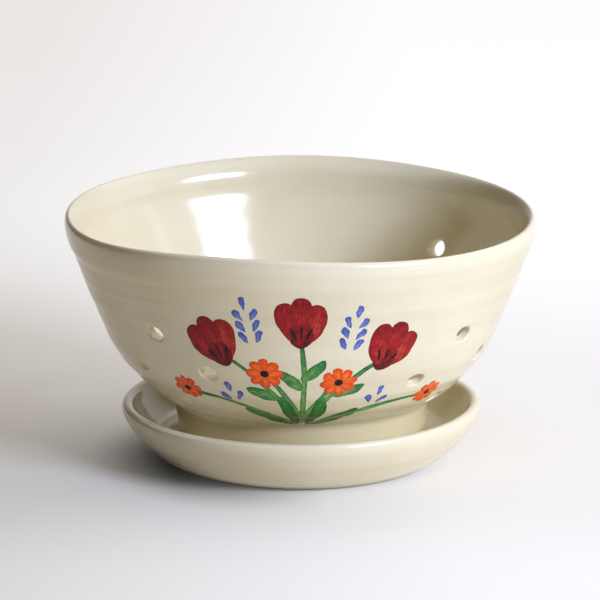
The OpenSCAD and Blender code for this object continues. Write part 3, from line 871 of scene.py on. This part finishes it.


# Plain pale paper. The camera and glossy rays see it lifted by a painted glow that grows to the back and
# right, so it runs to white and still holds the shadow, with a painted shadow of deeper tone where the
# saucer's left side meets it. Other rays meet it matte, and a painted shade dims it left of the saucer
def paperMaterial():
    material = newMaterial("studio floor")
    tree = material.node_tree
    place = addNode(tree, "TexCoord").outputs["Object"]
    sides = addNode(tree, "SeparateXYZ", {}, {0: place}).outputs
    reach = addNode(tree, "VectorMath", {"operation": "LENGTH"}, {0: place}).outputs["Value"]
    ranges = {}
    sources = {"shadeNear": reach, "shadeLeft": sides["X"], "dimNear": reach, "dimLeft": sides["X"],
               "glowBack": sides["Y"], "glowRight": sides["X"], "glowClear": reach, "glowFront": sides["Y"]}
    for key, source in sources.items():
        easing = "LINEAR" if source == sides["X"] else "SMOOTHSTEP"
        settings = {"interpolation_type": easing, **dict(zip((1, 2, 3, 4), paper[key]))}
        ranges[key] = addNode(tree, "MapRange", settings, {0: source})
    # the painted shadow and painted dim part lie where both their ranges do, and the glow's ranges add up
    for key, operation, a, b in (("shade", "MULTIPLY", "shadeNear", "shadeLeft"),
                                 ("dimmed", "MULTIPLY", "dimNear", "dimLeft"),
                                 ("across", "ADD", "glowBack", "glowRight"),
                                 ("outward", "ADD", "glowClear", "glowFront"),
                                 ("level", "ADD", "across", "outward")):
        ranges[key] = addNode(tree, "Math", {"operation": operation}, {0: ranges[a], 1: ranges[b]})
    unshaded = addNode(tree, "Math", {"operation": "SUBTRACT", 0: 1.0}, {1: ranges["shade"]})
    level = addNode(tree, "Math", {"operation": "MULTIPLY"}, {0: ranges["level"], 1: unshaded})
    bounce = addNode(tree, "Mix", {"data_type": "RGBA", 6: paper["bounce"], 7: paper["dimBounce"]},
                     {0: ranges["dimmed"]})
    matte = addNode(tree, "BsdfDiffuse", {}, {"Color": bounce.outputs[2]})
    tone = addNode(tree, "Mix", {"data_type": "RGBA", 6: paper["tone"], 7: paper["shadeTone"]},
                   {0: ranges["shade"]})
    pale = addNode(tree, "BsdfDiffuse", {}, {"Color": tone.outputs[2]})
    glow = addNode(tree, "Emission", {"Color": toLinear(paper["glow"])}, {"Strength": level})
    lifted = addNode(tree, "AddShader", {}, {0: pale, 1: glow})
    path = addNode(tree, "LightPath").outputs
    seen = addNode(tree, "Math", {"operation": "MAXIMUM"},
                   {0: path["Is Camera Ray"], 1: path["Is Glossy Ray"]})
    mixed = addNode(tree, "MixShader", {}, {0: seen, 1: matte, 2: lifted})
    addNode(tree, "OutputMaterial", {}, {"Surface": mixed})
    return material


floorMesh = bpy.data.meshes.new("studio_floor")
floorMesh.from_pydata([(-5, -4, 0), (5, -4, 0), (5, 8, 0), (-5, 8, 0)], [], [(0, 1, 2, 3)])
floorMesh.materials.append(paperMaterial())
floorPiece = bpy.data.objects.new("studio_floor", floorMesh)
bpy.context.scene.collection.objects.link(floorPiece)

# The room's light: which way it falls from, and its ranges of strength along that way and up
room = {
    "from": (0.92, 0.39, 0.0), "side": (-0.65, 1.0, 0.02, 0.60), "up": (0.0, 0.8, 0.78, 1.8),
    "soft": "#ffecd0", "mirrorSide": (-0.25, 0.5, 0.06, 1.0), "mirrorUp": (0.38, 0.72, 0.0, 1.8),
}


# A soft light that falls off to the left and grows upwards, white where the camera looks past the floor.
# Glossy rays see a paler room with a bright ceiling
def buildWorld():
    world = bpy.data.worlds.new("studio")
    bpy.context.scene.world = world
    world.use_nodes = True
    tree = world.node_tree
    tree.nodes.clear()
    around = addNode(tree, "TexCoord").outputs["Generated"]
    upward = addNode(tree, "SeparateXYZ", {}, {0: around}).outputs["Z"]
    slant = addNode(tree, "VectorMath", {"operation": "DOT_PRODUCT", 1: room["from"]}, {0: around})
    slant = slant.outputs["Value"]
    ranges = {}
    for key, source, easing in (("side", slant, "LINEAR"), ("up", upward, "LINEAR"),
                                ("mirrorSide", slant, "SMOOTHSTEP"), ("mirrorUp", upward, "SMOOTHSTEP")):
        settings = {"interpolation_type": easing, **dict(zip((1, 2, 3, 4), room[key]))}
        ranges[key] = addNode(tree, "MapRange", settings, {0: source})
    level = addNode(tree, "Math", {"operation": "MULTIPLY"}, {0: ranges["side"], 1: ranges["up"]})
    mirrored = addNode(tree, "Math", {"operation": "ADD"}, {0: ranges["mirrorSide"], 1: ranges["mirrorUp"]})
    soft = addNode(tree, "Background", {"Color": toLinear(room["soft"])}, {"Strength": level})
    bright = addNode(tree, "Background", {"Color": (1, 1, 1, 1)}, {"Strength": mirrored})
    white = addNode(tree, "Background", {"Color": (1, 1, 1, 1), "Strength": 1.0})
    path = addNode(tree, "LightPath").outputs
    glossy = addNode(tree, "MixShader", {}, {0: path["Is Glossy Ray"], 1: soft, 2: bright})
    seen = addNode(tree, "MixShader", {}, {0: path["Is Camera Ray"], 1: glossy, 2: white})
    addNode(tree, "OutputWorld", {}, {"Surface": seen})


# Puts a lamp or camera at a distance from a point, looking back at it
def aim(name, data, target, away, distance):
    holder = bpy.data.objects.new(name, data)
    holder.location = target + away * distance
    holder.rotation_euler = away.to_track_quat("Z", "Y").to_euler()
    bpy.context.scene.collection.objects.link(holder)
    return holder


# A soft box at an azimuth right of the camera and an elevation, in degrees, aimed at the bowl
def softBox(name, azimuth, elevation, distance, width, height, power, colour):
    lamp = bpy.data.lights.new(name, "AREA")
    lamp.shape = "RECTANGLE"
    lamp.size = width
    lamp.size_y = height
    lamp.energy = power
    lamp.color = toLinear(colour)[:3]
    a, b = math.radians(azimuth), math.radians(elevation)
    away = Vector((math.sin(a) * math.cos(b), -math.cos(a) * math.cos(b), math.sin(b)))
    aim(name, lamp, Vector((0, 0, 0.06)), away, distance)


buildWorld()
softBox("key_light", 46, 23.2, 1.25, 0.50, 0.19, 15.5, "#dae5ff")
softBox("side_light", 86, 19, 1.25, 0.12, 0.40, 0.25, "#eaf0ff")

# The camera: its distance in metres, its elevation, the point it looks at, and its lens in millimetres
view = {
    "distance": 2.0, "elevation": math.radians(13.65), "target": Vector((-0.0005, 0, 0.06455)),
    "lens": 298.7,
}
camera = bpy.data.cameras.new("camera")
camera.lens = view["lens"]
camera.sensor_width = 36
camera.clip_end = 50
fromCamera = Vector((0, -math.cos(view["elevation"]), math.sin(view["elevation"])))
bpy.context.scene.camera = aim("camera", camera, view["target"], fromCamera, view["distance"])
bpy.context.scene.view_settings.view_transform = "Standard"
print("stage set")
